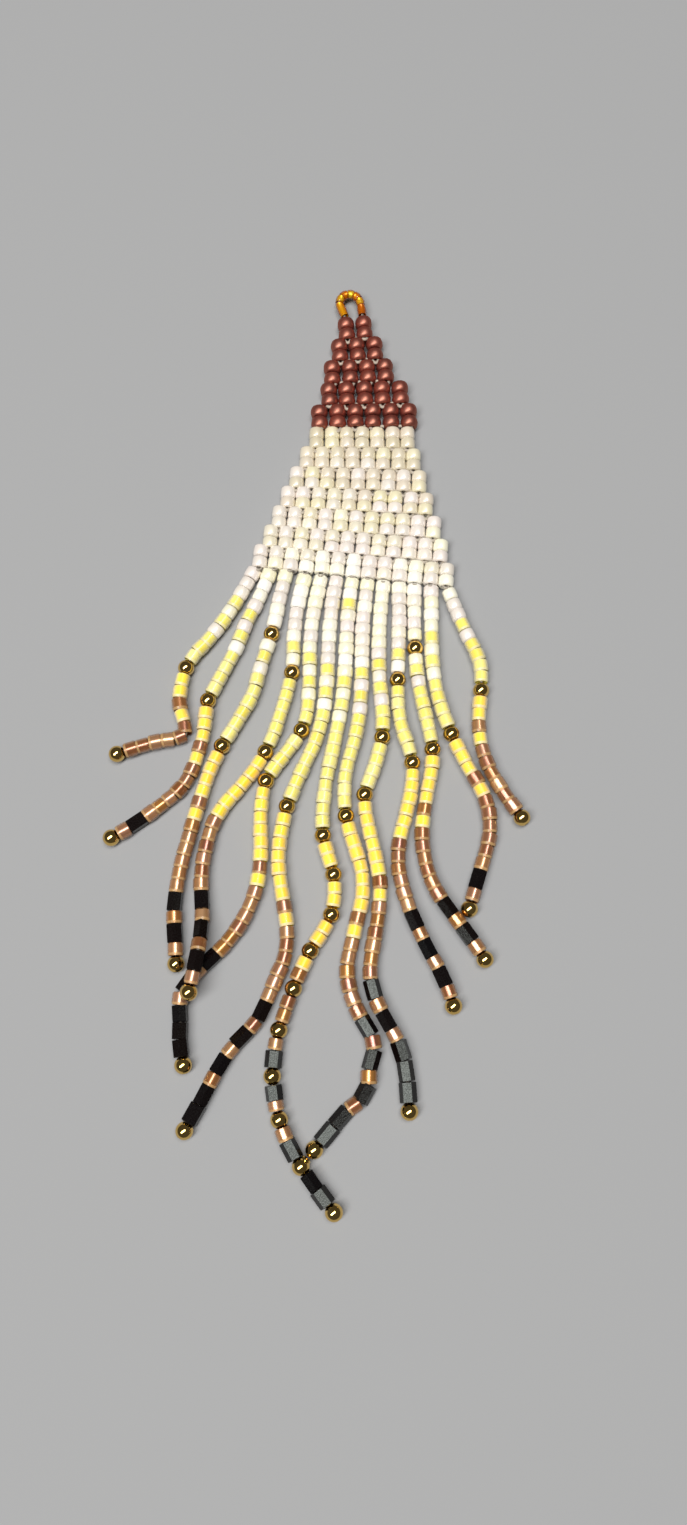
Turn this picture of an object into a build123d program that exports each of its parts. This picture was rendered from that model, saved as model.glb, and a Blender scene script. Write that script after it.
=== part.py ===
# Dangle earring woven from seed beads: a small loop, a brick-stitch body and thirteen fringe strings.
# It lies on its back with the loop towards +Y. The origin is under the middle of the whole earring.
import os
from math import cos, pi, radians, sin, tan

from build123d import *

os.makedirs("parts", exist_ok=True)

# Beads, each with its own size
cylinder_bead_diameter = 1.6
cylinder_bead_length = 1.32
round_bead_diameter = 2.06
round_bead_length = 1.46
bugle_length = 2.0
ball_diameter = 1.8
ball_hole_diameter = 0.6
loop_bead_diameter = 0.96

# The weave: rows of columns, two beads to a column, each row one column wider than the row above
beads_per_column = 2
brown_rows = 5
white_rows = 7
first_row_columns = 2
brown_column_pitch = 2.08
white_column_pitch = 1.76
brown_bead_pitch = round_bead_length + 0.02
white_bead_pitch = cylinder_bead_length + 0.02
web_thickness = 0.7
row_overlap = 0.2

# The middle line of the weave bends: each row is turned a little more than the one above it
top_row_turn = -5.0
bottom_row_turn = 6.3
weave_top = (4.07, 48.65)

# How far each row is pushed along itself, to the right or to the left, because the weave isn't even
row_shifts = [0, 0, 0, 0.55, 0.4, 0.15, -0.05, -0.25, -0.25, -0.15, -0.05, 0]

# Clearances
piece_gap = 0.2
ball_gap = 0.1
loop_foot_gap = 0.4

# The loop rises from the tops of the two first columns, bulging and leaning to the left as it lies
loop_half_width = 1.25
loop_side_height = 3.0
loop_lean = -0.35
loop_left_knee = 1.35
loop_right_knee = 1.5
loop_crown_slope = 30

# The part of the shorter run that an arc takes up at a corner of a route
arc_share = 0.45

# A drilled ball is shorter along its hole than across it
ball_length = (ball_diameter**2 - ball_hole_diameter**2) ** 0.5

# Heights of the axes above the surface that the earring lies on
round_bead_axis = round_bead_diameter / 2
strand_axis = ball_diameter / 2

# Each string: the beads before each of its balls, as (cylinder beads, bugle beads), the last ball ending it
strand_beads = [
    [(10, 0), (10, 0)],
    [(12, 0), (12, 1)],
    [(5, 0), (9, 0), (14, 2)],
    [(8, 0), (6, 0), (15, 3)],
    [(13, 0), (4, 0), (16, 5)],
    [(20, 0), (18, 5)],
    [(22, 0), (2, 0), (2, 0), (2, 0), (2, 0), (2, 0), (1, 1), (1, 1), (1, 1), (0, 2)],
    [(20, 0), (18, 5)],
    [(13, 0), (4, 0), (16, 5)],
    [(8, 0), (6, 0), (15, 3)],
    [(5, 0), (8, 0), (14, 2)],
    [(12, 0), (12, 1)],
    [(9, 0), (10, 0)],
]

# How far each spacer ball lies down its string, or back up it, from an even spread of the beads
spacer_shifts = [
    [-0.5],
    [0],
    [0, 0.35],
    [0, -0.2],
    [0.3, 0.2],
    [-0.35],
    [0.72, 0.81, 0.84, 0.94, 0.9, 1.05, 0.73, 0.12, 0.18],
    [-0.85],
    [-0.1, -0.45],
    [0, 0.1],
    [0, -0.4],
    [0],
    [-0.42],
]

# The route of each string as it lies, from the foot of its column. A third number lifts it off the surface.
strand_routes = [
    [(-0.5, -0.3), (-1.7, -2.7), (-3.3, -5.5), (-5.4, -8.6), (-7.6, -11.0), (-8.4, -14.2), (-8.4, -16.6),
     (-7.1, -19.8), (-9.6, -20.1), (-12.3, -20.7), (-14.9, -21.7)],
    [(-0.5, -0.3), (-1.3, -2.8), (-3.0, -6.1), (-4.0, -9.3), (-5.7, -12.7), (-7.2, -15.5), (-7.3, -19.0),
     (-8.1, -22.3), (-9.2, -25.1), (-12.2, -27.6), (-14.5, -29.4), (-16.8, -30.7)],
    [(-0.4, -0.2), (-1.1, -2.9), (-1.7, -6.8), (-3.1, -11.2), (-3.8, -14.6), (-5.7, -18.0), (-7.9, -21.8),
     (-9.2, -26.0), (-10.2, -29.8), (-11.2, -33.9), (-11.7, -38.2), (-11.3, -41.4), (-11.2, -43.7)],
    [(-0.1, -0.5), (-0.8, -3.4), (-1.3, -7.7), (-1.2, -11.3), (-2.4, -16.0), (-3.7, -20.3), (-6.2, -24.2),
     (-9.2, -27.5), (-10.4, -31.6), (-10.7, -35.2), (-10.3, -38.4), (-10.4, -41.6, 1.6), (-10.8, -44.2, 2.0),
     (-11.3, -46.5, 1.9)],
    [(0, -0.4), (-0.6, -3.2), (-1.2, -7.6), (-1.2, -12.3), (-1.4, -17.4), (-3.6, -20.8), (-5.9, -23.6),
     (-6.4, -27.6), (-6.1, -32.8), (-6.8, -36.6), (-8.6, -40.2), (-11.4, -43.1), (-14.4, -45.9),
     (-14.0, -49.0), (-14.1, -51.4), (-13.6, -53.4)],
    [(0, -0.3), (-0.5, -3.0), (-0.9, -8.0), (-1.0, -13.0), (-1.7, -18.2), (-3.6, -22.3), (-5.4, -26.6),
     (-6.3, -32.2), (-5.4, -36.9), (-4.8, -41.6), (-6.6, -45.6), (-7.8, -48.9), (-11.3, -52.2),
     (-13.1, -56.2), (-15.0, -59.5)],
    [(0, -0.3), (-0.4, -3.2), (-0.7, -8.4), (-0.9, -13.4), (-1.9, -19.2), (-3.1, -24.4), (-3.3, -29.8),
     (-1.8, -33.8), (-2.0, -38.0), (-4.6, -41.7), (-6.5, -46.4), (-8.0, -51.0), (-8.2, -54.9),
     (-6.9, -60.1), (-4.4, -63.8), (-1.9, -66.9)],
    [(0, -0.3), (-0.4, -3.0), (-0.7, -8.0), (-0.7, -13.0), (-1.2, -18.0), (-2.7, -22.6), (-2.6, -27.4),
     (-1.0, -32.0), (-0.5, -35.2), (-1.8, -40.2), (-2.6, -43.8), (-1.4, -47.6), (0.8, -50.6), (-0.4, -53.4),
     (0.0, -55.8), (-2.4, -57.0), (-4.1, -59.2), (-5.6, -60.9)],
    [(0, -0.3), (-0.3, -2.9), (-0.6, -7.6), (-0.5, -12.6), (0.0, -17.5), (-1.1, -21.6), (-2.5, -25.0),
     (-1.5, -29.6), (-0.4, -34.2), (-1.1, -39.4), (-2.0, -43.4), (-1.0, -46.9), (1.4, -50.6), (2.0, -54.4),
     (2.1, -57.1)],
    [(0, -0.3), (0.0, -2.8), (-0.1, -7.4), (-0.3, -12.2), (-0.2, -16.4), (1.4, -20.7), (0.9, -25.2),
     (-0.8, -30.7), (0.2, -35.8), (2.3, -40.6), (4.2, -43.8), (5.0, -46.6)],
    [(0, -0.3), (-0.1, -2.7), (-0.1, -7.2), (0.2, -12.0), (1.3, -16.6), (1.8, -20.2), (0.9, -24.4),
     (0.2, -28.6), (0.8, -32.8), (2.4, -35.8), (4.8, -38.9), (6.6, -41.7)],
    [(0.1, -0.3), (0.1, -3.2), (0.0, -7.2), (0.2, -11.4), (1.4, -16.0), (3.2, -20.2), (5.6, -24.3),
     (6.0, -28.0), (4.9, -31.6), (4.0, -34.2), (3.4, -36.3)],
    [(0.3, -0.5), (1.1, -2.8), (2.3, -5.9), (3.8, -8.9), (3.6, -12.4), (3.1, -16.3), (3.6, -19.7),
     (5.3, -23.3), (7.5, -26.4)],
]


def weave_rows():
    """A plane at the top of each row, its x along the row and its z down through the beads."""
    rows = []
    x, y = weave_top
    row_count = brown_rows + white_rows
    for number in range(row_count):
        brown = number < brown_rows
        bead_pitch = brown_bead_pitch if brown else white_bead_pitch
        height = beads_per_column * bead_pitch
        turn = radians(top_row_turn + (bottom_row_turn - top_row_turn) * number / (row_count - 1))
        along = Vector(cos(turn), -sin(turn))
        down = Vector(-sin(turn), -cos(turn))
        axis_height = round_bead_axis if brown else strand_axis
        top = Vector(x, y, axis_height) + along * row_shifts[number]
        rows.append({
            "plane": Plane(origin=top, x_dir=along, z_dir=down),
            "columns": first_row_columns + number,
            "pitch": brown_column_pitch if brown else white_column_pitch,
            "height": height,
        })
        x += down.X * height
        y += down.Y * height
    return rows


def column_feet(row):
    """The lower ends of a row's columns, from left to right."""
    middle = (row["columns"] - 1) / 2
    along = [(column - middle) * row["pitch"] for column in range(row["columns"])]
    return [row["plane"].from_local_coords((reach, 0, row["height"])) for reach in along]


def corner_radii(points):
    """The largest arc that the two runs at each corner of a route allow."""
    radii = []
    for before, corner, after in zip(points, points[1:], points[2:]):
        arriving = corner - before
        leaving = after - corner
        turn = radians(arriving.get_angle(leaving))
        radii.append(arc_share * min(arriving.length, leaving.length) / tan(turn / 2))
    return radii


def make_weave(rows, bead_diameter, foot_gap, label):
    """One colour of the weave: in every row a round column at each bead, joined by a web."""
    with BuildPart() as weave:
        for row in rows:
            last_row = row is rows[-1]
            with BuildSketch(row["plane"]):
                Rectangle((row["columns"] - 1) * row["pitch"], web_thickness)
                with GridLocations(row["pitch"], 0, row["columns"], 1):
                    Circle(bead_diameter / 2)
            extrude(amount=row["height"] + (-foot_gap if last_row else row_overlap))
    weave.part.label = label
    return weave


def make_loop(row):
    """The arch from the top of one first column to the top of the other."""
    foot = row["pitch"] / 2
    left = loop_lean - loop_half_width
    right = loop_lean + loop_half_width
    crown = loop_side_height + loop_half_width * tan(radians(loop_crown_slope))
    outline = [
        (-foot, loop_foot_gap),
        (left, loop_left_knee),
        (left, loop_side_height),
        (loop_lean, crown),
        (right, loop_side_height),
        (foot, loop_right_knee),
        (foot, loop_foot_gap),
    ]
    points = [row["plane"].from_local_coords((along, 0, -up)) for along, up in outline]
    radii = corner_radii(points)
    print("hanging_loop corner radii", [round(radius, 1) for radius in radii])
    route = FilletPolyline(*points, radius=radii)
    with BuildPart() as loop:
        with BuildSketch(Plane(origin=route @ 0, z_dir=route % 0)):
            Circle(loop_bead_diameter / 2)
        sweep(path=route)
    loop.part.label = "hanging_loop"
    return loop


def strand_route(number, foot):
    """The line that a string's beads are threaded on."""
    points = [foot + Vector(*point) for point in strand_routes[number]]
    radii = corner_radii(points)
    print(f"strand_{number + 1:02d} corner radii", [round(radius, 1) for radius in radii])
    return FilletPolyline(*points, radius=radii)


def strand_spans(beads, shifts, route_length):
    """Where each stretch of beads starts and ends along the route, and the middle of the ball after it."""
    bead_lengths = [
        cylinders * cylinder_bead_length + bugles * bugle_length for cylinders, bugles in beads
    ]
    ball_lengths = (len(beads) - 0.5) * ball_length
    stretch = (route_length - ball_lengths) / sum(bead_lengths)
    spans = []
    start = 0
    even_end = 0
    for length, shift in zip(bead_lengths, [*shifts, 0]):
        even_end += length * stretch
        end = even_end + shift
        spans.append((start, end, end + ball_length / 2))
        even_end += ball_length
        start = end + ball_length
    return spans


def make_strand(route, spans, label):
    """The beads of one string, as a round stretch between each two balls."""
    with BuildPart() as strand:
        for order, (start, end, _) in enumerate(spans):
            near = start if order == 0 else start + ball_gap
            stretch = route.trim(near / route.length, (end - ball_gap) / route.length)
            with BuildSketch(Plane(origin=stretch @ 0, z_dir=stretch % 0)):
                Circle(cylinder_bead_diameter / 2)
            sweep(path=stretch)
    threaded = sum(end - start for start, end, _ in spans) - ball_gap * (2 * len(spans) - 1)
    expected = threaded * pi * (cylinder_bead_diameter / 2) ** 2
    print(label, "length", round(route.length, 2), "volume share", round(strand.part.volume / expected, 4))
    strand.part.label = label
    return strand


def make_ball(route, middle, label):
    """A gold ball, drilled for the thread."""
    share = min(middle / route.length, 1)
    with BuildPart(Plane(origin=route @ share, z_dir=route % share)) as ball:
        Sphere(ball_diameter / 2)
        Hole(ball_hole_diameter / 2)
    ball.part.label = label
    return ball


rows = weave_rows()
brown_beadwork = make_weave(rows[:brown_rows], round_bead_diameter, piece_gap, "brown_beadwork")
white_beadwork = make_weave(rows[brown_rows:], cylinder_bead_diameter, 0, "white_beadwork")
hanging_loop = make_loop(rows[0])
pieces = [brown_beadwork, white_beadwork, hanging_loop]

for number, foot in enumerate(column_feet(rows[-1])):
    name = f"{number + 1:02d}"
    route = strand_route(number, foot)
    spans = strand_spans(strand_beads[number], spacer_shifts[number], route.length)
    pieces.append(make_strand(route, spans, f"strand_{name}"))
    for order, (_, _, middle) in enumerate(spans[:-1]):
        pieces.append(make_ball(route, middle, f"spacer_ball_{name}_{order + 1}"))
    pieces.append(make_ball(route, spans[-1][2], f"end_ball_{name}"))

for piece in pieces:
    export_step(piece.part, f"parts/{piece.part.label}.step")

whole = Compound([piece.part for piece in pieces]).bounding_box()
print("pieces", len(pieces), "from", whole.min, "to", whole.max)
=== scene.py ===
# Dangle earring woven from glass seed beads: the beads, the thread and their finishes,
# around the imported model. Lengths are in metres.
import bisect
import math
import random

import bmesh
import bpy
from mathutils import Matrix, Vector


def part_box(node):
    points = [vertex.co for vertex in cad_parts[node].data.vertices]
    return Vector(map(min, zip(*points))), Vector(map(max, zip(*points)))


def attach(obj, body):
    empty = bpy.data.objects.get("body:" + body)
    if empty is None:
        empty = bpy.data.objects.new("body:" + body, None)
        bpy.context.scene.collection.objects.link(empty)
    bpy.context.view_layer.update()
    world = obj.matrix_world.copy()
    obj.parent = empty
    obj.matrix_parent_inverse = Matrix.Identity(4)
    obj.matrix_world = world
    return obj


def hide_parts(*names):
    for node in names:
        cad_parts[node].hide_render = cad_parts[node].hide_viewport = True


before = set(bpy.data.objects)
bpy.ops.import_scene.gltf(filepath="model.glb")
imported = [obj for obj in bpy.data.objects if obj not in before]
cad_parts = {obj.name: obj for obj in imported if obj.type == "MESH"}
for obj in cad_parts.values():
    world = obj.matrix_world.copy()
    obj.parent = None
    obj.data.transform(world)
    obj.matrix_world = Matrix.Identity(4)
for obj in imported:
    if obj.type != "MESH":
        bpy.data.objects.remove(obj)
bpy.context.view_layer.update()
scene = bpy.context.scene
chance = random.Random(7)  # the same draws each run
print("frame loaded:", len(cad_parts), "nodes")

# Camera, as the photo was taken: held above the earring, a little towards the fringe

cameraView = {
    "target": (0.00281, -0.00634, 0.0009),
    "distance": 0.124,
    "tilt": 15.0,  # degrees off straight down
    "focalPixels": 1152,
    "imageHeight": 1525,
}


def placeCamera():
    data = bpy.data.cameras.new("camera")
    data.lens = data.sensor_width * cameraView["focalPixels"] / cameraView["imageHeight"]
    data.clip_start = 0.005  # a few millimetres, because the camera stands close
    data.dof.use_dof = False
    camera = bpy.data.objects.new("camera", data)
    tilt = math.radians(cameraView["tilt"])
    back = Vector((0, -math.sin(tilt), math.cos(tilt)))
    camera.location = Vector(cameraView["target"]) + back * cameraView["distance"]
    camera.rotation_euler = (tilt, 0, 0)
    scene.collection.objects.link(camera)
    scene.camera = camera


placeCamera()
scene.view_settings.view_transform = "Standard"  # colours come out as mixed, as in the photo

# Helpers for materials


def hexColour(code):  # from an sRGB hex value to the linear numbers that shaders count in
    parts = [int(code[place:place + 2], 16) / 255 for place in (1, 3, 5)]
    linear = [part / 12.92 if part <= 0.04045 else ((part + 0.055) / 1.055) ** 2.4 for part in parts]
    return (*linear, 1)


def addNode(tree, kind, settings=None, links=None):
    node = tree.nodes.new(kind)
    for name, value in (settings or {}).items():
        if isinstance(name, str) and hasattr(node, name):
            setattr(node, name, value)
        else:
            node.inputs[name].default_value = value
    for name, source in (links or {}).items():
        tree.links.new(source, node.inputs[name])
    return node


def newMaterial(name):
    material = bpy.data.materials.new(name)
    material.use_nodes = True
    tree = material.node_tree
    tree.nodes.clear()
    return material, tree


def finishMaterial(tree, shader):
    addNode(tree, "ShaderNodeOutputMaterial", links={"Surface": shader.outputs[0]})


def toneRamp(tree, colours):  # a colour for each bead, by the tone that its corners carry
    tone = addNode(tree, "ShaderNodeAttribute", {"attribute_name": "beadTone"})
    ramp = addNode(tree, "ShaderNodeValToRGB", links={"Fac": tone.outputs["Fac"]})
    points = ramp.color_ramp.elements
    for order, code in enumerate(colours):
        place = order / (len(colours) - 1)
        point = points[order] if order < 2 else points.new(place)  # a new ramp has two points
        point.position = place
        point.color = hexColour(code)
    return ramp.outputs["Color"]


# grain is the width of the bumps in metres. Those of the real glass and metal are finer than shows here,
# so they are drawn as coarse as they need to be to break up the highlights.
def surfaceBump(tree, grain, strength, depth):
    place = addNode(tree, "ShaderNodeTexCoord")
    noise = addNode(
        tree, "ShaderNodeTexNoise", {"Scale": 1 / grain, "Detail": 2.0}, {"Vector": place.outputs["Object"]}
    )
    bump = addNode(
        tree, "ShaderNodeBump", {"Strength": strength, "Distance": depth}, {"Height": noise.outputs["Fac"]}
    )
    return bump.outputs["Normal"]


# Glass beads. The fringe's yellow and copper ones are clear glass round a hole that is lined with paint
# or metal. The white, brown and black ones are opaque.

beadLinings = {
    # Light yellow paint: a clean lemon, a little uneven
    "y": {
        "name": "lightYellowLining",
        "colours": ["#F2E148", "#F6EA6C", "#E9D53E"],
        "roughness": 0.34, "metallic": 0.0, "coat": 0.6,
    },
    # Pale yellow paint: the same, thinner and greener
    "P": {
        "name": "paleYellowLining",
        "colours": ["#F1E468", "#E8DB5E", "#F7EC8C"],
        "roughness": 0.34, "metallic": 0.0, "coat": 0.6,
    },
    # Strong yellow paint: warm and solid
    "Y": {
        "name": "strongYellowLining",
        "colours": ["#FFDC00", "#FFD000", "#FFE600"],
        "roughness": 0.4, "metallic": 0.0, "coat": 0.15,
    },
    # Copper plating: a bright line down the bead over brown, rosier or more golden from bead to bead
    "B": {
        "name": "roseCopperLining",
        "colours": ["#985A2E", "#A0664A", "#D0A080", "#C2863E", "#8E5242", "#DEB284", "#A66A3A"],
        "roughness": 0.3, "metallic": 0.6, "coat": 1.0,
    },
}


def liningPaint(lining):
    material, tree = newMaterial(lining["name"])
    colour = toneRamp(tree, lining["colours"])
    shader = addNode(
        tree, "ShaderNodeBsdfPrincipled",
        {
            "Roughness": lining["roughness"], "Metallic": lining["metallic"],
            "Coat Weight": lining["coat"], "Coat Roughness": 0.2,
        },
        {"Base Color": colour, "Normal": surfaceBump(tree, grain=0.0004, strength=0.25, depth=0.00002)},
    )
    finishMaterial(tree, shader)
    return material


# Drawn glass tube: see-through in front, fuller at the sides, where one looks along its wall
def glassWall(name, colour, thinnest, fullest):
    material, tree = newMaterial(name)
    side = addNode(tree, "ShaderNodeLayerWeight", {"Blend": 0.5})
    fullness = addNode(
        tree, "ShaderNodeMapRange", {"To Min": thinnest, "To Max": fullest}, {"Value": side.outputs["Facing"]}
    )
    shader = addNode(
        tree, "ShaderNodeBsdfPrincipled",
        {
            "Base Color": hexColour(colour), "Roughness": 0.14, "IOR": 1.52,
            "Coat Weight": 1.0, "Coat Roughness": 0.05,
        },
        {
            "Alpha": fullness.outputs["Result"],
            "Normal": surfaceBump(tree, grain=0.0005, strength=0.2, depth=0.00002),
        },
    )
    finishMaterial(tree, shader)
    return material


# The lower cut end of the tube, tumbled smooth and paler. The paleness is partly real, because ground glass
# scatters the light, and partly a painted highlight: the bright band that the lamp puts on the lower end of
# each bead, which only the lower end gets.
def groundEndPaintedHighlight(name, darker, lighter):
    material, tree = newMaterial(name)
    scratch = 0.00025  # the width of the marks, coarser than real so that they show
    place = addNode(tree, "ShaderNodeTexCoord")
    grain = addNode(
        tree, "ShaderNodeTexNoise", {"Scale": 1 / scratch, "Detail": 2.0}, {"Vector": place.outputs["Object"]}
    )
    # both tones are pale for the painted highlight on the lower end; the noise between them gives the marks
    colour = addNode(
        tree, "ShaderNodeMix",
        {"data_type": "RGBA", 6: hexColour(darker), 7: hexColour(lighter)}, {0: grain.outputs["Fac"]},
    )
    shader = addNode(
        tree, "ShaderNodeBsdfPrincipled", {"Roughness": 0.28, "IOR": 1.52, "Alpha": 0.6},
        {
            "Base Color": colour.outputs[2],
            "Normal": surfaceBump(tree, grain=0.0002, strength=0.3, depth=0.00001),
        },
    )
    finishMaterial(tree, shader)
    return material


# Jet black glass, cut with a coarse wheel: flat facets that turn slate grey where they catch the lamp
def blackCutGlass():
    material, tree = newMaterial("blackCutGlass")
    pitSpacing = 0.001 / 9  # nine pits to the millimetre, coarser than real so that they show
    colour = toneRamp(tree, ["#0A0403", "#0E0707", "#080608"])
    place = addNode(tree, "ShaderNodeTexCoord")
    pits = addNode(
        tree, "ShaderNodeTexNoise",
        {"Scale": 1 / pitSpacing, "Detail": 1.0}, {"Vector": place.outputs["Object"]},
    )
    polish = addNode(
        tree, "ShaderNodeMapRange", {"From Min": 0.4, "From Max": 0.6, "To Min": 0.2, "To Max": 0.36},
        {"Value": pits.outputs["Fac"]},
    )
    shader = addNode(
        tree, "ShaderNodeBsdfPrincipled",
        {"IOR": 1.5, "Specular IOR Level": 0.34, "Specular Tint": hexColour("#E8F0E8")},
        {
            "Base Color": colour, "Roughness": polish.outputs["Result"],
            "Normal": surfaceBump(tree, grain=0.00012, strength=0.6, depth=0.00002),
        },
    )
    finishMaterial(tree, shader)
    return material


# Red-brown glass, etched matte with a metallic film: a soft wide glow down each bead, and its sides go dark.
# The high IOR stands for the film.
def matteBrownGlass():
    material, tree = newMaterial("matteBrownGlass")
    colour = toneRamp(tree, ["#501C1A", "#5C241E", "#441818", "#682A22"])
    shader = addNode(
        tree, "ShaderNodeBsdfPrincipled",
        {"Roughness": 0.45, "IOR": 3.6, "Specular Tint": hexColour("#FFAC92")},
        {"Base Color": colour, "Normal": surfaceBump(tree, grain=0.00008, strength=0.35, depth=0.000008)},
    )
    finishMaterial(tree, shader)
    return material


# Opaque white glass with a pearl lustre: a broad soft shine down each bead over cream and blush.
# The raised IOR stands for the lustre.
def pearlGlass():
    material, tree = newMaterial("pearlGlass")
    colour = toneRamp(
        tree, ["#D6C9AA", "#DCD0B4", "#E2D4C0", "#EAE0BA", "#E8DED0", "#EEE2D8", "#F8F2D0", "#FFFAF0"]
    )
    shader = addNode(
        tree, "ShaderNodeBsdfPrincipled",
        {"Roughness": 0.36, "IOR": 2.2, "Coat Weight": 1.0, "Coat Roughness": 0.25},
        {"Base Color": colour, "Normal": surfaceBump(tree, grain=0.0004, strength=0.3, depth=0.00002)},
    )
    finishMaterial(tree, shader)
    return material


# Gold plating inside the amber beads: orange to bright yellow
def goldLining():
    material, tree = newMaterial("goldLining")
    colour = toneRamp(tree, ["#C45A06", "#F08C00", "#FFAE00", "#FFE030"])
    shader = addNode(
        tree, "ShaderNodeBsdfPrincipled", {"Roughness": 0.32, "Metallic": 0.5},
        {"Base Color": colour, "Normal": surfaceBump(tree, grain=0.0003, strength=0.3, depth=0.00002)},
    )
    finishMaterial(tree, shader)
    return material


# Brass plated with bright gold and tumbled: a mirror with tiny dents
def goldPlatedBrass():
    material, tree = newMaterial("goldPlatedBrass")
    patch = 0.002 / 3  # three worn patches to 2 mm
    place = addNode(tree, "ShaderNodeTexCoord")
    wear = addNode(
        tree, "ShaderNodeTexNoise", {"Scale": 1 / patch, "Detail": 2.0}, {"Vector": place.outputs["Object"]}
    )
    colour = addNode(
        tree, "ShaderNodeMix",
        {"data_type": "RGBA", 6: hexColour("#DCB45C"), 7: hexColour("#EECB80")}, {0: wear.outputs["Fac"]},
    )
    shader = addNode(
        tree, "ShaderNodeBsdfPrincipled", {"Roughness": 0.1, "Metallic": 1.0},
        {
            "Base Color": colour.outputs[2],
            "Normal": surfaceBump(tree, grain=0.0003, strength=0.15, depth=0.00001),
        },
    )
    finishMaterial(tree, shader)
    return material


# White nylon beading thread, twisted and waxed: uneven where fibres bundle, and drawn grey-tan, darker than
# the nylon, as painted shade for thread that lies in the crevices between beads
def waxedNylonThread():
    material, tree = newMaterial("waxedNylonThread")
    bundle = 0.001 / 6  # six bundles of fibres to the millimetre, because single fibres are too fine to show
    place = addNode(tree, "ShaderNodeTexCoord")
    fibre = addNode(
        tree, "ShaderNodeTexNoise", {"Scale": 1 / bundle, "Detail": 3.0}, {"Vector": place.outputs["Object"]}
    )
    # both tones are darker than white nylon: painted shade; the noise between them is the fibre bundles
    colour = addNode(
        tree, "ShaderNodeMix",
        {"data_type": "RGBA", 6: hexColour("#8A7E70"), 7: hexColour("#C6BBA8")}, {0: fibre.outputs["Fac"]},
    )
    shader = addNode(
        tree, "ShaderNodeBsdfPrincipled", {"Roughness": 0.55, "Sheen Weight": 0.3},
        {
            "Base Color": colour.outputs[2],
            "Normal": surfaceBump(tree, grain=0.0001, strength=0.5, depth=0.00002),
        },
    )
    finishMaterial(tree, shader)
    return material


# The glass tube is clear for the yellow beads and a clear brown for the copper ones
fringeMaterials = [
    glassWall("clearGlassWall", "#FFF6D8", thinnest=0.02, fullest=0.85),
    # each tube's lower end: ground glass, pale with a painted highlight
    groundEndPaintedHighlight("groundEndPaintedHighlight", darker="#E6DAAA", lighter="#FBF4D2"),
    glassWall("brownGlassWall", "#B07C4A", thinnest=0.03, fullest=0.9),
    groundEndPaintedHighlight("brownEndPaintedHighlight", darker="#A87442", lighter="#ECC88C"),
]
clearWall, brownWall = 0, 2  # their places in the list, each with its lower end after it, pale with a painted highlight
beadFinish = {}  # for each colour, the place of the material of a bead's wall, lower end and lining
for code, lining in beadLinings.items():
    wall = brownWall if code == "B" else clearWall
    beadFinish[code] = (wall, wall + 1, len(fringeMaterials))
    fringeMaterials.append(liningPaint(lining))
beadFinish["K"] = beadFinish["k"] = (len(fringeMaterials),) * 3
fringeMaterials.append(blackCutGlass())
pearl = pearlGlass()
beadFinish["W"] = (len(fringeMaterials),) * 3
fringeMaterials.append(pearl)
print("materials made:", len(fringeMaterials), "for the fringe")

# Beads, each a small profile spun about its hole

# edge is how far a cut end is ground in, and rounding how far up the bead, at its upper and its lower end.
# lining is the radius of the hole. Radius less edge stays larger than it, or the ends turn inside out.
cylinderBead = {
    "radius": 0.00084, "lining": 0.00072, "length": 0.0013,
    "edge": 0.00008, "rounding": (0.00012, 0.00026), "sides": 12,
}
whiteBead = {
    "radius": 0.00084, "lining": 0.0004, "length": 0.0013,
    "edge": 0.0001, "rounding": (0.00016, 0.00024), "sides": 14,
}
weaveBead = {
    "radius": 0.00088, "lining": 0.0004, "length": 0.0013,
    "edge": 0.0001, "rounding": (0.00018, 0.00026), "sides": 16,
}
bugleBead = {
    "radius": 0.00086, "lining": 0.00036, "length": 0.00196,
    "edge": 0.00006, "rounding": (0.00006, 0.00006), "sides": 6,
}
roundBead = {"radius": 0.00103, "lining": 0.0004, "length": 0.00146, "sides": 12}
loopBead = {"radius": 0.00056, "lining": 0.00043, "length": 0.0008, "sides": 14}


def cutProfile(bead):  # straight, with a rounded edge at each end
    half = bead["length"] / 2
    upper, lower = bead["rounding"]
    shoulder = bead["radius"] - bead["edge"]
    return [
        (bead["lining"], -half), (shoulder, -half), (bead["radius"], upper - half),
        (bead["radius"], half - lower), (shoulder, half), (bead["lining"], half),
    ]


barrel = {
    "rim": 0.45,  # where the end turns, as a share of the way from the hole to the side
    "holeHeight": 0.9,  # where the hole starts, as a share of half the length
    "swell": [(0.875, 0.8), (0.955, 0.48), (1, 0.14)],  # shares of the radius and of half the length
}


def roundProfile(bead):  # a barrel, gently swelling down its sides and round at both ends
    half = bead["length"] / 2
    rim = bead["lining"] + (bead["radius"] - bead["lining"]) * barrel["rim"]
    outer = [(rim, 1)] + [(bead["radius"] * width, share) for width, share in barrel["swell"]]
    upper = [(bead["lining"], -half * barrel["holeHeight"])]
    upper += [(reach, -half * share) for reach, share in outer]
    return upper + [(reach, -height) for reach, height in reversed(upper)]


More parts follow.
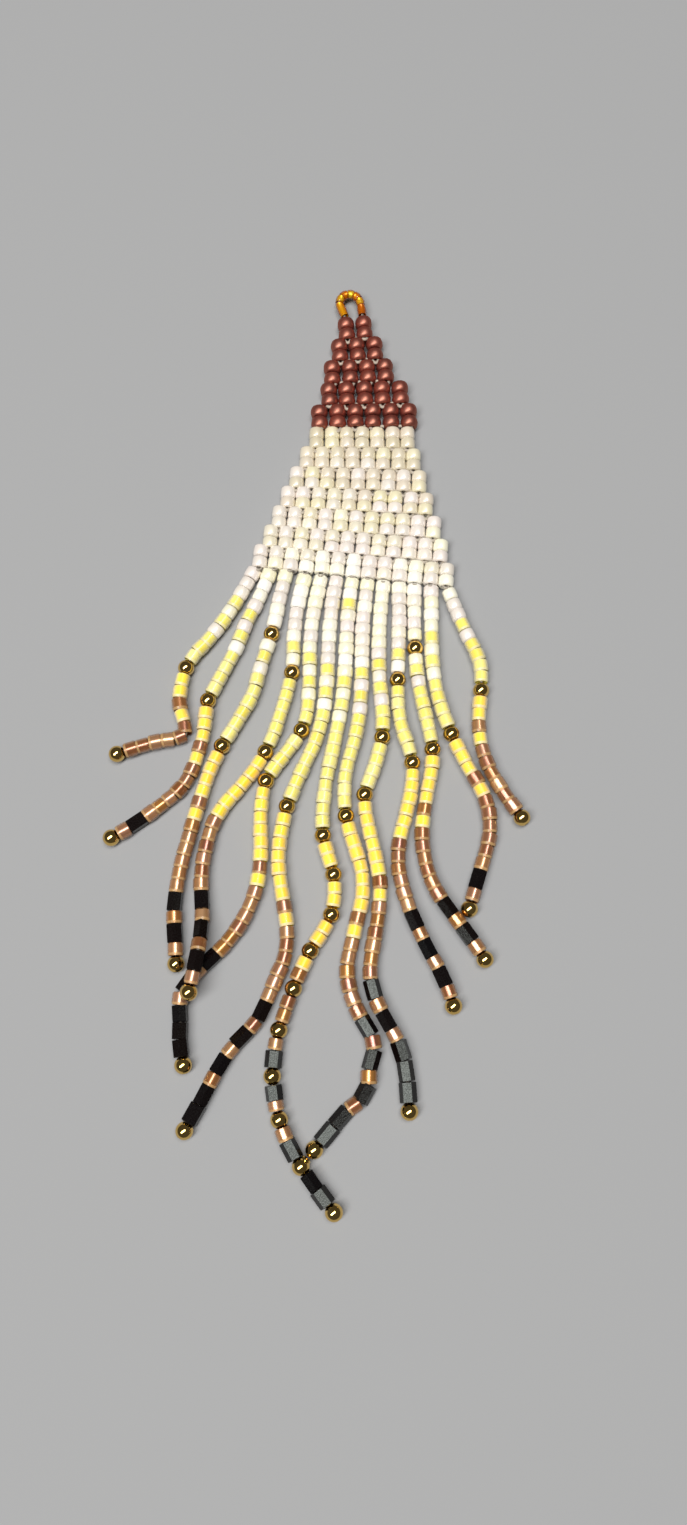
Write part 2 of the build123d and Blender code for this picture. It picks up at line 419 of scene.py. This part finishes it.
def spinBead(name, bead, profile, cut):  # a cut bead has sharp rings at its ends
    slack = 0.01  # widths and heights that differ by less are the same
    form = bmesh.new()
    corners = [form.verts.new((reach, 0, height)) for reach, height in profile(bead)]
    edges = [form.edges.new(pair) for pair in zip(corners, corners[1:] + corners[:1])]
    bmesh.ops.spin(
        form, geom=corners + edges, axis=(0, 0, 1), cent=(0, 0, 0), angle=math.tau, steps=bead["sides"],
        use_merge=True,
    )
    bmesh.ops.recalc_face_normals(form, faces=form.faces)
    widest = max(corner.co.xy.length for corner in form.verts)
    for face in form.faces:
        reaches = [corner.co.xy.length for corner in face.verts]
        if max(reaches) < bead["lining"] * (1 + slack):
            face.material_index = 2  # the lining
        elif min(reaches) < widest * (1 - slack) and face.calc_center_median().z > 0:
            face.material_index = 1  # the lower end, which in the fringe gets the pale end with its painted highlight
        face.smooth = bead["sides"] > 6  # a bugle's six facets stay flat
    for edge in form.edges:
        ring = abs(edge.verts[0].co.z - edge.verts[1].co.z) < bead["length"] * slack
        edge.smooth = not (cut and ring)
    mesh = bpy.data.meshes.new(name)
    form.to_mesh(mesh)
    form.free()
    return mesh


beadMeshes = {
    "cylinder": spinBead("cylinderBead", cylinderBead, cutProfile, cut=True),
    "white": spinBead("whiteBead", whiteBead, cutProfile, cut=False),
    "weave": spinBead("weaveBead", weaveBead, cutProfile, cut=False),
    "bugle": spinBead("bugleBead", bugleBead, cutProfile, cut=True),
    "round": spinBead("roundBead", roundBead, roundProfile, cut=False),
    "loop": spinBead("loopBead", loopBead, roundProfile, cut=False),
}


def startBeads():
    gathered = bmesh.new()
    gathered.verts.layers.float.new("beadTone")
    return gathered


# A bead from one end to the other. finish gives, for its wall, its lower end and its lining, the place of
# the material in the piece's list.
def addBead(gathered, kind, ends, tone, finish, fatness=1.0, roll=None):
    bead = beadMeshes[kind]
    first, last = ends
    axis = last - first
    stretch = axis.length / max(corner.co.z for corner in bead.vertices) / 2
    turn = axis.to_track_quat("Z", "X").to_matrix().to_4x4()
    rolled = Matrix.Rotation(chance.uniform(0, math.tau) if roll is None else roll, 4, "Z")
    size = Matrix.Diagonal((fatness, fatness, stretch, 1))
    place = Matrix.Translation((first + last) / 2) @ turn @ rolled @ size
    vertsBefore = len(gathered.verts)
    facesBefore = len(gathered.faces)
    gathered.from_mesh(bead)
    gathered.verts.ensure_lookup_table()
    gathered.faces.ensure_lookup_table()
    toneLayer = gathered.verts.layers.float["beadTone"]
    for corner in gathered.verts[vertsBefore:]:
        corner[toneLayer] = tone
    for face in gathered.faces[facesBefore:]:
        face.material_index = finish[face.material_index]
    bmesh.ops.transform(gathered, matrix=place, verts=gathered.verts[vertsBefore:])


def finishPiece(gathered, name, materials, nodes):
    mesh = bpy.data.meshes.new(name)
    gathered.to_mesh(mesh)
    gathered.free()
    for material in materials:
        mesh.materials.append(material)
    piece = bpy.data.objects.new(name, mesh)
    scene.collection.objects.link(piece)
    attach(piece, "root")
    if nodes:
        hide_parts(*nodes)
    return piece


# The weave: the same plan of rows as the solids, two beads to a column and each row one column wider

weave = {
    "beadsPerColumn": 2,
    "brownRows": 5,
    "whiteRows": 7,
    "firstColumns": 2,
    "brownPitch": 0.00208,
    "whitePitch": 0.00176,
    "brownBead": 0.00148,  # from bead to bead down a column
    "whiteBead": 0.00134,
    "topTurn": -5.0,  # degrees that the first and the last row slope down to the right
    "bottomTurn": 6.3,
    "top": (0.00407, 0.04865),  # the middle of the first row's upper edge
    # how far each row is pushed along itself
    "shifts": [0, 0, 0, 0.00055, 0.0004, 0.00015, -0.00005, -0.00025, -0.00025, -0.00015, -0.00005, 0],
    "brownHeight": 0.00103,  # the beads' middle above the floor
    "whiteHeight": 0.0009,
    "jitter": 0.00003,
    "gap": 0.00002,
    "toneSpread": 0.5,  # the share of the tones that one row holds
    "fatness": (0.97, 1.0),
}


def planRows():
    rows = []
    rowCount = weave["brownRows"] + weave["whiteRows"]
    start = Vector((*weave["top"], 0))
    for number in range(rowCount):
        kind = "brown" if number < weave["brownRows"] else "white"
        share = number / (rowCount - 1)
        turn = math.radians(weave["topTurn"] + (weave["bottomTurn"] - weave["topTurn"]) * share)
        along = Vector((math.cos(turn), -math.sin(turn), 0))
        row = {
            "columns": weave["firstColumns"] + number,
            "pitch": weave[kind + "Pitch"],
            "bead": weave[kind + "Bead"],
            "along": along,
            "down": Vector((-math.sin(turn), -math.cos(turn), 0)),
            "start": Vector((start.x, start.y, weave[kind + "Height"])) + along * weave["shifts"][number],
        }
        rows.append(row)
        start = start + row["down"] * row["bead"] * weave["beadsPerColumn"]
    return rows


def columnTop(row, column):
    return row["start"] + row["along"] * row["pitch"] * (column - (row["columns"] - 1) / 2)


def columnFoot(row, column):
    return columnTop(row, column) + row["down"] * row["bead"] * weave["beadsPerColumn"]


def jitter(size):  # a small shift sideways
    return Vector((chance.uniform(-size, size), chance.uniform(-size, size), 0))


def weaveBeads(rows, kind, name, material, node):
    gathered = startBeads()
    for number, row in enumerate(rows):
        paler = number / (len(rows) - 1) * (1 - weave["toneSpread"])  # the lower rows are paler
        for column in range(row["columns"]):
            top = columnTop(row, column)
            for order in range(weave["beadsPerColumn"]):
                first = top + row["down"] * (row["bead"] * order + weave["gap"])
                last = top + row["down"] * (row["bead"] * (order + 1) - weave["gap"])
                shift = jitter(weave["jitter"])
                ends = (first + shift + jitter(weave["jitter"]), last + shift + jitter(weave["jitter"]))
                tone = chance.uniform(paler, weave["toneSpread"] + paler)
                fatness = chance.uniform(*weave["fatness"])
                addBead(gathered, kind, ends, tone, finish=(0, 0, 0), fatness=fatness)
    return finishPiece(gathered, name, [material], [node])


rows = planRows()
brownRows = rows[:weave["brownRows"]]
whiteRows = rows[weave["brownRows"]:]
brownBeads = weaveBeads(
    brownRows, "round", "brown_weave_beads", matteBrownGlass(), "brown_beadwork"
)
whiteBeads = weaveBeads(
    whiteRows, "weave", "white_weave_beads", pearl, "white_beadwork"
)
print("weave made:", len(brownBeads.data.polygons), "and", len(whiteBeads.data.polygons), "faces")

# The fringe. Each string's beads by colour, from the weave down, with | for a gold ball.
# W white, y light yellow, P pale yellow, Y strong yellow, B rose copper, K black bugle, k a shorter one

stringCharts = [
    "WWWyWyWPyP|YYBYBBBBBB|",
    "WWWWyWyWyPPP|YYYBYBBBBBBKB|",
    "WWWWW|WyWPPyyPP|YYYYBYBBBBBBKBKB|",
    "WWWWWWyW|yyyyyP|YYYYYYBBBBBBKBKBKB|",
    "WWWWWWWyWyWyy|PPyy|YYYYYYBYBBBBBBKBKBkkk|",
    "WWWWWWWWyWyWyyyyPPyP|YYYYYYYBYBBBBBBKBKBKBKK|",
    "WWyWWWWWWyWyWyyyPPPPPP|YY|YY|YY|YB|BB|BK|KB|BK|KK|",
    "WWWWWWWWyWyWyyPPPPPP|YYYYYYYBYBBBBBBKBKBKBKK|",
    "WWWWWWWyWyWyy|PyPP|YYYYYYBYBBBBBBKBKBKKK|",
    "WWWWWWyW|yPPyPP|YYYYYYBBBBBBKBKBKB|",
    "WWWWW|WyWyyPyP|YYYYBYBBBBBBKBKB|",
    "WWWWyWyWyyPP|YYYBYBBBBBBKB|",
    "WWWyWyyPP|YYBYBBBBBB|",
]

# The route of each string, measured from the foot of its column. A third number lifts it off the floor.
stringRoutes = [
    [(-0.0005, -0.0003), (-0.0017, -0.0027), (-0.0033, -0.0055), (-0.0054, -0.0086), (-0.0076, -0.011),
     (-0.0084, -0.0142), (-0.0084, -0.0166), (-0.0071, -0.0198), (-0.0096, -0.0201), (-0.0123, -0.0207),
     (-0.0149, -0.0217)],
    [(-0.0005, -0.0003), (-0.0013, -0.0028), (-0.003, -0.0061), (-0.004, -0.0093), (-0.0057, -0.0127),
     (-0.0072, -0.0155), (-0.0073, -0.019), (-0.0081, -0.0223), (-0.0092, -0.0251), (-0.0122, -0.0276),
     (-0.0145, -0.0294), (-0.0168, -0.0307)],
    [(-0.0004, -0.0002), (-0.0011, -0.0029), (-0.0017, -0.0068), (-0.0031, -0.0112), (-0.0038, -0.0146),
     (-0.0057, -0.018), (-0.0079, -0.0218), (-0.0092, -0.026), (-0.0102, -0.0298), (-0.0112, -0.0339),
     (-0.0117, -0.0382), (-0.0113, -0.0414), (-0.0112, -0.0437)],
    [(-0.0001, -0.0005), (-0.0008, -0.0034), (-0.0013, -0.0077), (-0.0012, -0.0113), (-0.0024, -0.016),
     (-0.0037, -0.0203), (-0.0062, -0.0242), (-0.0092, -0.0275), (-0.0104, -0.0316), (-0.0107, -0.0352),
     (-0.0103, -0.0384), (-0.0104, -0.0416, 0.0016), (-0.0108, -0.0442, 0.002), (-0.0113, -0.0465, 0.0019)],
    [(0.0, -0.0004), (-0.0006, -0.0032), (-0.0012, -0.0076), (-0.0012, -0.0123), (-0.0014, -0.0174),
     (-0.0036, -0.0208), (-0.0059, -0.0236), (-0.0064, -0.0276), (-0.0061, -0.0328), (-0.0068, -0.0366),
     (-0.0086, -0.0402), (-0.0114, -0.0431), (-0.0144, -0.0459), (-0.014, -0.049), (-0.0141, -0.0514),
     (-0.0136, -0.0534)],
    [(0.0, -0.0003), (-0.0005, -0.003), (-0.0009, -0.008), (-0.001, -0.013), (-0.0017, -0.0182),
     (-0.0036, -0.0223), (-0.0054, -0.0266), (-0.0063, -0.0322), (-0.0054, -0.0369), (-0.0048, -0.0416),
     (-0.0066, -0.0456), (-0.0078, -0.0489), (-0.0113, -0.0522), (-0.0131, -0.0562), (-0.015, -0.0595)],
    [(0.0, -0.0003), (-0.0004, -0.0032), (-0.0007, -0.0084), (-0.0009, -0.0134), (-0.0019, -0.0192),
     (-0.0031, -0.0244), (-0.0033, -0.0298), (-0.0018, -0.0338), (-0.002, -0.038), (-0.0046, -0.0417),
     (-0.0065, -0.0464), (-0.008, -0.051), (-0.0082, -0.0549), (-0.0069, -0.0601), (-0.0044, -0.0638),
     (-0.0019, -0.0669)],
    [(0.0, -0.0003), (-0.0004, -0.003), (-0.0007, -0.008), (-0.0007, -0.013), (-0.0012, -0.018),
     (-0.0027, -0.0226), (-0.0026, -0.0274), (-0.001, -0.032), (-0.0005, -0.0352), (-0.0018, -0.0402),
     (-0.0026, -0.0438), (-0.0014, -0.0476), (0.0008, -0.0506), (-0.0004, -0.0534), (0.0, -0.0558),
     (-0.0024, -0.057), (-0.0041, -0.0592), (-0.0056, -0.0609)],
    [(0.0, -0.0003), (-0.0003, -0.0029), (-0.0006, -0.0076), (-0.0005, -0.0126), (0.0, -0.0175),
     (-0.0011, -0.0216), (-0.0025, -0.025), (-0.0015, -0.0296), (-0.0004, -0.0342), (-0.0011, -0.0394),
     (-0.002, -0.0434), (-0.001, -0.0469), (0.0014, -0.0506), (0.002, -0.0544), (0.0021, -0.0571)],
    [(0.0, -0.0003), (0.0, -0.0028), (-0.0001, -0.0074), (-0.0003, -0.0122), (-0.0002, -0.0164),
     (0.0014, -0.0207), (0.0009, -0.0252), (-0.0008, -0.0307), (0.0002, -0.0358), (0.0023, -0.0406),
     (0.0042, -0.0438), (0.005, -0.0466)],
    [(0.0, -0.0003), (-0.0001, -0.0027), (-0.0001, -0.0072), (0.0002, -0.012), (0.0013, -0.0166),
     (0.0018, -0.0202), (0.0009, -0.0244), (0.0002, -0.0286), (0.0008, -0.0328), (0.0024, -0.0358),
     (0.0048, -0.0389), (0.0066, -0.0417)],
    [(0.0001, -0.0003), (0.0001, -0.0032), (0.0, -0.0072), (0.0002, -0.0114), (0.0014, -0.016),
     (0.0032, -0.0202), (0.0056, -0.0243), (0.006, -0.028), (0.0049, -0.0316), (0.004, -0.0342),
     (0.0034, -0.0363)],
    [(0.0003, -0.0005), (0.0011, -0.0028), (0.0023, -0.0059), (0.0038, -0.0089), (0.0036, -0.0124),
     (0.0031, -0.0163), (0.0036, -0.0197), (0.0053, -0.0233), (0.0075, -0.0264)],
]

fringe = {
    "ballHalf": 0.00083,  # half of a ball along its hole
    "lengths": {"K": 0.002, "k": 0.0017},  # of the bugles
    "beadLength": 0.00132,  # of all other beads
    "gap": 0.00002,
    "jitter": 0.00003,
    "facetUp": [6, 7, 8],  # strings whose bugles mostly lie with a facet to the lamp, counted from 0
    "facetShare": 0.8,
    "facetTurn": 30,  # degrees from an edge upwards to a facet upwards
    "facetSlack": 9,  # degrees that a bugle is turned either way
    "bugleFatness": (0.94, 1.03),
    "fatness": (0.93, 1.05),
    "whiteTones": (0.6, 1),  # pale, as in the last rows of the weave
    "threadRadius": 0.00016,
    "lead": 0.00018,  # how far the first bead reaches back towards the weave from the start of its route
}


def smoothLine(points, bevel=0.0):  # a curve near the points, as a bare line or with a round section
    curve = bpy.data.curves.new("route", "CURVE")
    curve.dimensions = "3D"
    curve.resolution_u = 12
    curve.bevel_depth = bevel
    curve.bevel_resolution = 1  # few sides, because threads are thin
    curve.use_fill_caps = bevel > 0
    spline = curve.splines.new("NURBS")
    spline.points.add(len(points) - 1)
    for corner, place in zip(spline.points, points):
        corner.co = (*place, 1)
    spline.order_u = 3
    spline.use_endpoint_u = True
    holder = bpy.data.objects.new("route", curve)
    scene.collection.objects.link(holder)
    mesh = bpy.data.meshes.new_from_object(holder)
    bpy.data.objects.remove(holder)
    bpy.data.curves.remove(curve)
    return mesh


def readLine(points):  # the places along the curve, and how far along it each one is
    mesh = smoothLine(points)
    places = [corner.co.copy() for corner in mesh.vertices]
    bpy.data.meshes.remove(mesh)
    reached = [0.0]
    for before, after in zip(places, places[1:]):
        reached.append(reached[-1] + (after - before).length)
    return {"places": places, "reached": reached}


def placeAt(line, distance):
    last = len(line["places"]) - 2
    step = min(max(bisect.bisect(line["reached"], distance) - 1, 0), last)
    before, after = line["places"][step:step + 2]
    share = (distance - line["reached"][step]) / (after - before).length
    return before + (after - before) * share


def distanceTo(line, place):  # how far along the line its nearest point to a place is
    steps = 4 * len(line["places"])  # finer than the line's own
    whole = line["reached"][-1]
    distances = [whole * step / steps for step in range(steps + 1)]
    return min(distances, key=lambda distance: (placeAt(line, distance) - place).length)


def nodeMiddle(name):
    low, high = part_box(name)
    return (low + high) / 2


def stringBeads(number, line):
    name = f"{number + 1:02d}"
    gathered = startBeads()
    stretches = stringCharts[number].strip("|").split("|")
    start = 0.0
    for order, stretch in enumerate(stretches):
        isLast = order == len(stretches) - 1
        ball = f"end_ball_{name}" if isLast else f"spacer_ball_{name}_{order + 1}"
        middle = distanceTo(line, nodeMiddle(ball))
        lengths = [fringe["lengths"].get(code, fringe["beadLength"]) for code in stretch]
        room = (middle - fringe["ballHalf"] - start) / sum(lengths)
        reached = start
        for code, length in zip(stretch, lengths):
            first = placeAt(line, reached + fringe["gap"])
            reached += length * room
            last = placeAt(line, reached - fringe["gap"])
            ends = (first + jitter(fringe["jitter"]), last + jitter(fringe["jitter"]))
            if code in fringe["lengths"]:
                facetUp = number in fringe["facetUp"] and chance.random() < fringe["facetShare"]
                slack = chance.uniform(-fringe["facetSlack"], fringe["facetSlack"])
                roll = math.radians(slack + (fringe["facetTurn"] if facetUp else 0))
                tone = chance.random()
                fatness = chance.uniform(*fringe["bugleFatness"])
                addBead(gathered, "bugle", ends, tone, beadFinish[code], fatness, roll)
            else:
                white = code == "W"
                tone = chance.uniform(*fringe["whiteTones"]) if white else chance.random()
                kind = "white" if white else "cylinder"
                addBead(gathered, kind, ends, tone, beadFinish[code], chance.uniform(*fringe["fatness"]))
        print(f"string {name} stretch {order + 1}: {room:.3f}")
        start = middle + fringe["ballHalf"]
    finishPiece(gathered, f"strand_{name}_beads", fringeMaterials, [f"strand_{name}"])


def stringPlaces(number):  # the foot of a string's column, then the places on its route
    foot = columnFoot(rows[-1], number)
    return [foot] + [foot + Vector((*place, 0)[:3]) for place in stringRoutes[number]]


threads = bmesh.new()
for number in range(len(stringRoutes)):
    foot, first, second, *others = stringPlaces(number)
    lead = first + (first - second).normalized() * fringe["lead"]
    stringBeads(number, readLine([lead, second, *others]))
    threads.from_mesh(smoothLine([foot, first, second, *others], bevel=fringe["threadRadius"]))
print("fringe made")

# The loop: small amber beads from the top of one first column to the other

loop = {
    "halfWidth": 0.00125,
    "sideHeight": 0.003,
    "lean": -0.00035,  # how far its middle lies to the left
    "leftKnee": 0.00135,  # how far up the legs bend in
    "rightKnee": 0.0015,
    "crownSlope": 30,  # degrees
    "footGap": 0.0004,
    # each bead's share of the length, and its tone
    "beads": [(1.9, 0.75), (0.9, 0.95), (0.75, 0.35), (0.8, 1.0), (0.8, 0.4), (0.85, 0.9), (1.3, 0.15)],
}


def loopBeads():
    top = rows[0]
    foot = weave["brownPitch"] / 2
    left = loop["lean"] - loop["halfWidth"]
    right = loop["lean"] + loop["halfWidth"]
    crown = loop["sideHeight"] + loop["halfWidth"] * math.tan(math.radians(loop["crownSlope"]))
    outline = [
        (-foot, loop["footGap"]), (left, loop["leftKnee"]), (left, loop["sideHeight"]), (loop["lean"], crown),
        (right, loop["sideHeight"]), (foot, loop["rightKnee"]), (foot, loop["footGap"]),
    ]
    points = [top["start"] + top["along"] * across - top["down"] * up for across, up in outline]
    line = readLine(points)
    gathered = startBeads()
    room = line["reached"][-1] / sum(length for length, _ in loop["beads"])
    reached = 0.0
    for length, tone in loop["beads"]:
        first = placeAt(line, reached)
        reached += length * room
        addBead(gathered, "loop", (first, placeAt(line, reached)), tone, finish=(0, 0, 1))
    amberGlass = glassWall("amberGlassWall", "#A34A04", thinnest=0.08, fullest=0.95)
    finishPiece(gathered, "loop_beads", [amberGlass, goldLining()], ["hanging_loop"])
    threads.from_mesh(smoothLine(points, bevel=fringe["threadRadius"]))


loopBeads()
print("loop made")

# Thread: it loops from column to column at the foot of each row of the weave. What runs through the fringe
# and the loop is made with their beads and ends up in the same piece.

threadwork = {
    "radius": 0.00018,
    "rise": 0.00042,  # above the middle of the beads
    "lastRise": 0.00084,  # the same for the last row, whose thread lies on top
    "lastRadius": 0.00011,
    "dip": (0.00015, 0.0006),  # how far a loop hangs out of its hole
    "tuck": 0.0003,  # how far its ends go up the hole
    "spread": 0.0002,  # a quarter of a loop's width
}


# A loop at each hole along the foot of a row, and a straight thread to the next
def bridgeRows(row, radius, rise):
    tuck = threadwork["tuck"]
    points = []
    for column in range(row["columns"]):
        foot = columnFoot(row, column)
        dip = chance.uniform(*threadwork["dip"])
        for across, down, lift in [(-2, -tuck, 0), (-1, dip, rise), (1, dip, rise), (2, -tuck, 0)]:
            shift = row["along"] * across * threadwork["spread"] + row["down"] * down
            points.append(foot + shift + Vector((0, 0, lift)))
    threads.from_mesh(smoothLine(points, bevel=radius))


for row in rows[:-1]:
    bridgeRows(row, threadwork["radius"], threadwork["rise"])
bridgeRows(rows[-1], threadwork["lastRadius"], threadwork["lastRise"])
threadPiece = finishPiece(threads, "beading_thread", [waxedNylonThread()], [])
print("thread made:", len(threadPiece.data.polygons), "faces")

# The gold balls stay as the solids, with the metal's finish. The tiny bead that stops string 8 is added.

goldMetal = goldPlatedBrass()
stopper = {
    "string": 7,  # string 8, counted from 0
    "past": 0.00148,  # from the middle of the end ball
    "radius": 0.00058, "lining": 0.0002, "length": 0.0009, "sides": 10,
}


def addStopper():
    before, last = stringPlaces(stopper["string"])[-2:]
    line = (last - before).normalized()
    middle = nodeMiddle(f"end_ball_{stopper['string'] + 1:02d}") + line * stopper["past"]
    beadMeshes["stopper"] = spinBead("stopperBead", stopper, roundProfile, cut=False)
    gathered = startBeads()
    half = line * stopper["length"] / 2
    addBead(gathered, "stopper", (middle - half, middle + half), tone=0.5, finish=(0, 0, 0))
    finishPiece(gathered, "stopper_bead", [goldMetal], [])


addStopper()
for name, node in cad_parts.items():
    if "ball" in name:
        node.data.materials.clear()
        node.data.materials.append(goldMetal)

# Floor and light: a plain pale floor under one long soft lamp above the camera, with a dim room round it

studio = {
    "floorSize": 3.0,
    "floorColour": "#989898",
    "lampPlace": (-0.16, -0.12, 0.95),
    "lampWidth": 0.3,
    "lampLength": 1.2,
    "lampPower": 15.8,  # watts
    "roomColour": "#E4E0DA",
    "roomStrength": 0.1,
}


def makeFloor():
    form = bmesh.new()
    bmesh.ops.create_grid(form, x_segments=1, y_segments=1, size=studio["floorSize"] / 2)
    mesh = bpy.data.meshes.new("floor")
    form.to_mesh(mesh)
    form.free()
    material, tree = newMaterial("paleGreyCard")
    shader = addNode(
        tree, "ShaderNodeBsdfPrincipled",
        {"Base Color": hexColour(studio["floorColour"]), "Roughness": 0.9, "Specular IOR Level": 0.1},
    )
    finishMaterial(tree, shader)
    mesh.materials.append(material)
    floor = bpy.data.objects.new("floor", mesh)
    scene.collection.objects.link(floor)


def makeLight():
    data = bpy.data.lights.new("lamp", "AREA")
    data.shape = "RECTANGLE"
    data.size = studio["lampWidth"]
    data.size_y = studio["lampLength"]
    data.energy = studio["lampPower"]
    lamp = bpy.data.objects.new("lamp", data)
    lamp.location = studio["lampPlace"]
    aim = -Vector(studio["lampPlace"])  # at the earring, with the lamp's length along Y
    lamp.rotation_euler = aim.to_track_quat("-Z", "Y").to_euler()
    scene.collection.objects.link(lamp)
    room = bpy.data.worlds.new("room")
    room.use_nodes = True
    backdrop = room.node_tree.nodes["Background"]
    backdrop.inputs["Color"].default_value = hexColour(studio["roomColour"])
    backdrop.inputs["Strength"].default_value = studio["roomStrength"]
    scene.world = room


makeFloor()
makeLight()
